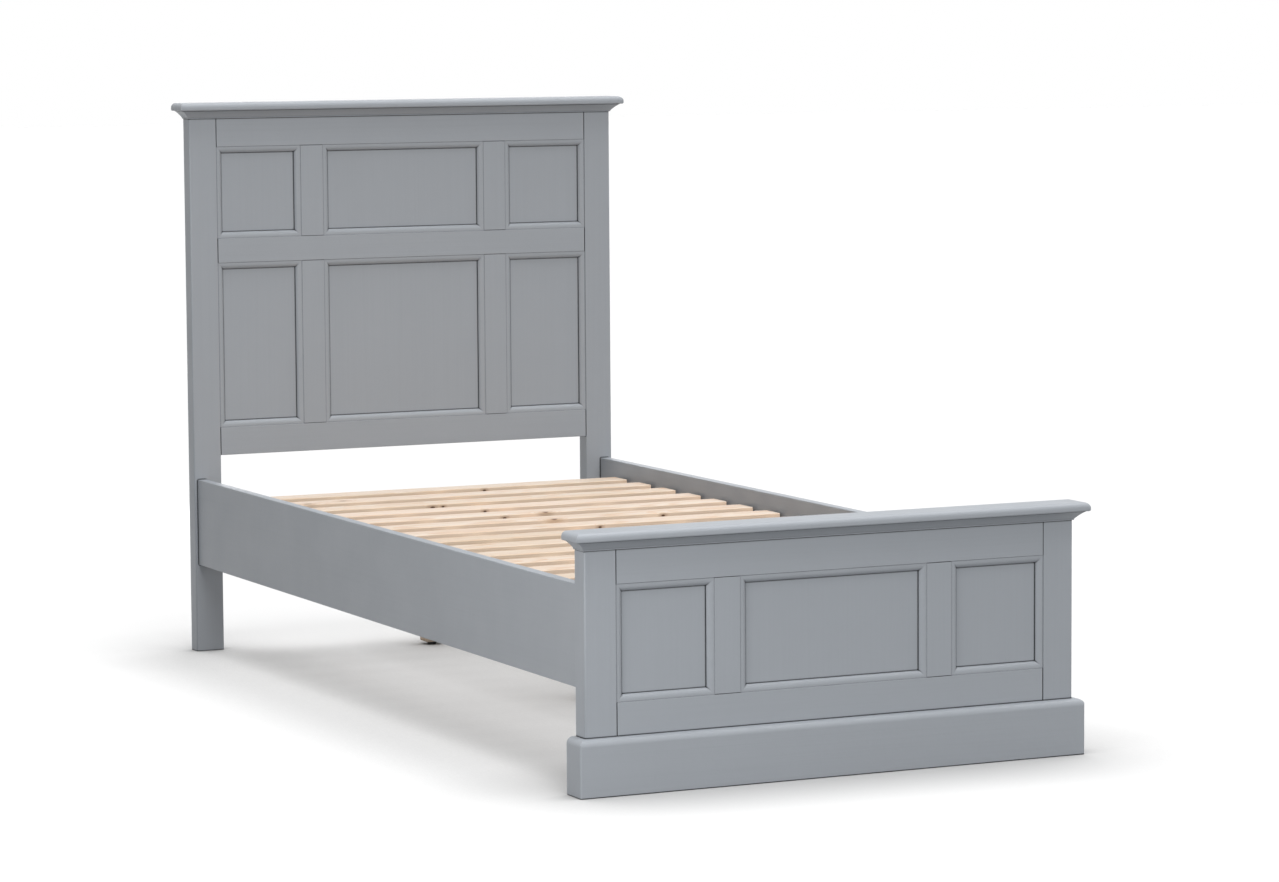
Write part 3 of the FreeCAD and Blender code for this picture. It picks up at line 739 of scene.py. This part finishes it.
# Staples that hold the straps, two at each crossing with a slat
STAPLE_CROWN = 0.0102
STAPLE_LEG = 0.005
STAPLE_BEND = 0.0009
STAPLE_WIDTH = 0.0012
STAPLE_THICKNESS = 0.0006
STAPLE_BELOW = 0.3             # the wire's middle below the strap, in thicknesses
STAPLE_PLACES = (-0.0115, 0.0115)
STAPLE_STRAY_X = 0.003
STAPLE_STRAY_Y = 0.002
STAPLE_TURN = 0.12             # in radians
# The wire's outline: half widths across, and thicknesses outwards
STAPLE_OUTLINE = ((-1, -0.5), (-1, 0.3), (-0.7, 0.5), (0.7, 0.5), (1, 0.3), (1, -0.5))


def staple_stations(middle, turn):
    """A staple's wire from one leg's tip over the crown to the other's."""
    half = STAPLE_CROWN / 2
    path = [(-half, STAPLE_LEG, 0.0), (-half, STAPLE_BEND, 0.0)]
    path += [(-half + STAPLE_BEND * (1 - math.cos(angle)), STAPLE_BEND * (1 - math.sin(angle)),
              angle) for angle in (math.pi / 4, math.pi / 2)]
    path += [(-across, rise, math.pi - angle) for across, rise, angle in reversed(path)]
    sections = []
    for across, rise, angle in path:
        outward = Vector((-math.cos(angle), 0.0, -math.sin(angle)))
        section = []
        for side, depth in STAPLE_OUTLINE:
            point = (Vector((across, side * STAPLE_WIDTH / 2, rise))
                     + outward * depth * STAPLE_THICKNESS)
            section.append(middle + Matrix.Rotation(turn, 3, "Z") @ point)
        sections.append(section)
    return sections


def staples(material):
    """Two staples at each crossing of a strap and a slat, with their legs in the slat."""
    low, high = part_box("webbing_straps")
    z = low.z - STAPLE_THICKNESS * STAPLE_BELOW
    form = bmesh.new()
    for box in slat_boxes():
        y = middle_y(box)
        for x in strap_middles(high):
            for place in STAPLE_PLACES:
                middle = Vector((x + random.uniform(-STAPLE_STRAY_X, STAPLE_STRAY_X),
                                 y + place + random.uniform(-STAPLE_STRAY_Y, STAPLE_STRAY_Y), z))
                turn = random.uniform(-STAPLE_TURN, STAPLE_TURN)
                sweep(form, staple_stations(middle, turn))
    make_piece("strap_staples", form, material, "slat_roll")


# Raised countersunk screws along the ledgers
SCREW_COUNT = 7
SCREW_END = 0.06               # from a ledger's end to its first screw
SCREW_RADIUS = 0.004
SCREW_HEIGHT = 0.0011
SCREW_SIDES = 24               # as many as the cross outline has
# The head's rings: share of the radius, and height
SCREW_RINGS = ((1.0, -0.0006), (1.0, 0.00015), (0.93, 0.0004), (0.8, 0.00075),
               (0.66, SCREW_HEIGHT))
RECESS_REACH = 0.0021
RECESS_HALF_WIDTH = 0.00045
RECESS_DEPTH = 0.0015
RECESS_FOOT_REACH, RECESS_FOOT_WIDTH = 0.45, 0.7    # the recess's shares at its foot


def cross_outline(reach, half_width, z):
    """Twenty-four points round a cross at one height."""
    side = (reach + half_width) / 2
    quarter = [(reach, 0.0), (reach, half_width), (side, half_width),
               (half_width, half_width), (half_width, side), (half_width, reach)]
    turns = ((1, 0), (0, 1), (-1, 0), (0, -1))
    return [(x * cosine - y * sine, x * sine + y * cosine, z)
            for cosine, sine in turns for x, y in quarter]


def screw_rings():
    """A raised countersunk head with a cross recess, as rings of points round its axis."""
    angles = [2 * math.pi * step / SCREW_SIDES for step in range(SCREW_SIDES)]
    rings = [[(SCREW_RADIUS * share * math.cos(angle), SCREW_RADIUS * share * math.sin(angle),
               height) for angle in angles] for share, height in SCREW_RINGS]
    rings.append(cross_outline(RECESS_REACH, RECESS_HALF_WIDTH, SCREW_HEIGHT))
    rings.append(cross_outline(RECESS_REACH * RECESS_FOOT_REACH,
                               RECESS_HALF_WIDTH * RECESS_FOOT_WIDTH,
                               SCREW_HEIGHT - RECESS_DEPTH))
    return rings


def ledger_screws(material):
    """The screws that hold each ledger to its side rail."""
    form = bmesh.new()
    rings = screw_rings()
    for node, inward in (("ledger_left", 1), ("ledger_right", -1)):
        low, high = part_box(node)
        face = high.x if inward > 0 else low.x
        z = (low.z + high.z) / 2
        for number in range(SCREW_COUNT):
            y = low.y + SCREW_END + (high.y - low.y - 2 * SCREW_END) * number / (SCREW_COUNT - 1)
            spin = random.uniform(0.0, math.pi / 2)
            cosine, sine = math.cos(spin), math.sin(spin)
            sweep(form, [[(face + inward * out, y + (across * cosine - up * sine),
                           z + (across * sine + up * cosine)) for across, up, out in ring]
                         for ring in rings])
    make_piece("ledger_screws", form, material, "bed_frame")


# ---------------------------------------------------------------- floor, light and camera

def seen_by_viewer(tree):
    """One for the camera's rays, and for those it sees in reflections or through clear pieces."""
    path = tree.add("ShaderNodeLightPath").outputs
    seen = tree.math("MAXIMUM", path["Is Camera Ray"], path["Is Glossy Ray"])
    return tree.math("MAXIMUM", seen, path["Is Transmission Ray"])


def floor():
    """A plain pale floor that looks white, keeps the bed's shadow and has a painted shadow round
    the bed.
    """
    half = FLOOR_SIZE / 2
    corners = [(-half, -half, -FLOOR_DROP), (half, -half, -FLOOR_DROP),
               (half, half, -FLOOR_DROP), (-half, half, -FLOOR_DROP)]
    mesh = bpy.data.meshes.new("floor")
    mesh.from_pydata(corners, [], [(0, 1, 2, 3)])
    ground = bpy.data.objects.new("floor", mesh)
    bpy.context.scene.collection.objects.link(ground)

    tree = new_tree("pale_floor")
    seen = seen_by_viewer(tree)
    matt = tree.add("ShaderNodeBsdfDiffuse")
    tree.feed(matt, "Color", tree.span(seen, UNIT, (FLOOR_BOUNCE, FLOOR_SHOWN)))
    glow = tree.add("ShaderNodeEmission")
    # Painted shadow: the glow dims where the floor is closed in by the bed, under it and round its
    # feet
    openness = tree.openness(FLOOR_REACH, FLOOR_SAMPLES)
    tree.feed(glow, "Color", tree.math("POWER", openness, FLOOR_CONTRAST))
    tree.feed(glow, "Strength", tree.span(seen, UNIT, (0.0, FLOOR_GLOW)))
    both = tree.add("ShaderNodeAddShader")
    tree.feed(both, 0, matt.outputs[0])
    tree.feed(both, 1, glow.outputs[0])
    tree.finish(both)
    mesh.materials.append(tree.owner)


def sky():
    """An even studio light from all round, which looks white to the camera."""
    world = bpy.data.worlds.new("studio")
    bpy.context.scene.world = world
    tree = Tree(world)
    background = tree.add("ShaderNodeBackground")
    tree.feed(background, "Color", WHITE)
    tree.feed(background, "Strength",
              tree.span(seen_by_viewer(tree), UNIT, (SKY_LEVEL, SKY_SHOWN)))
    tree.finish(background, "ShaderNodeOutputWorld")


def lamp(name, kind, level, toward):
    """A lamp that shines from the side that a vector points to."""
    data = bpy.data.lights.new(name, kind)
    data.energy = level
    holder = bpy.data.objects.new(name, data)
    bpy.context.scene.collection.objects.link(holder)
    holder.rotation_mode = "QUATERNION"
    holder.rotation_quaternion = toward.to_track_quat("Z", "Y")
    holder.visible_camera = False
    return holder


def lamps():
    """Broad light from overhead and the front, and soft boxes at the foot's left and behind."""
    for name, strength, spread, toward in SUNS:
        lamp(name, "SUN", strength, toward).data.angle = math.radians(spread)
    for name, power, size, place, aim in SOFT_BOXES:
        box = lamp(name, "AREA", power, place - aim)
        box.data.size = size
        box.location = place


def camera():
    """The photograph's view."""
    yaw, pitch, roll = (math.radians(angle) for angle in (CAMERA_YAW, CAMERA_PITCH, CAMERA_ROLL))
    forward = Vector((math.sin(yaw) * math.cos(pitch), math.cos(yaw) * math.cos(pitch),
                      math.sin(pitch)))
    level_right = Vector((math.cos(yaw), -math.sin(yaw), 0.0))
    level_up = level_right.cross(forward)
    right = math.cos(roll) * level_right + math.sin(roll) * level_up
    up = -math.sin(roll) * level_right + math.cos(roll) * level_up
    data = bpy.data.cameras.new("camera")
    data.sensor_width = SENSOR_WIDTH
    data.lens = CAMERA_LENS
    data.clip_end = CAMERA_REACH
    eye = bpy.data.objects.new("camera", data)
    bpy.context.scene.collection.objects.link(eye)
    turn = Matrix((right, up, -forward)).transposed().to_4x4()
    eye.matrix_world = Matrix.Translation(CAMERA_PLACE) @ turn
    bpy.context.scene.camera = eye


def studio():
    """Everything round the bed."""
    bpy.context.scene.view_settings.view_transform = "Standard"
    floor()
    sky()
    lamps()
    camera()


random.seed(RANDOM_SEED)
studio()
finishes = dress_frame()
woven_straps(finishes["webbing"])
staples(finishes["zinc_steel"])
ledger_screws(finishes["zinc_steel"])
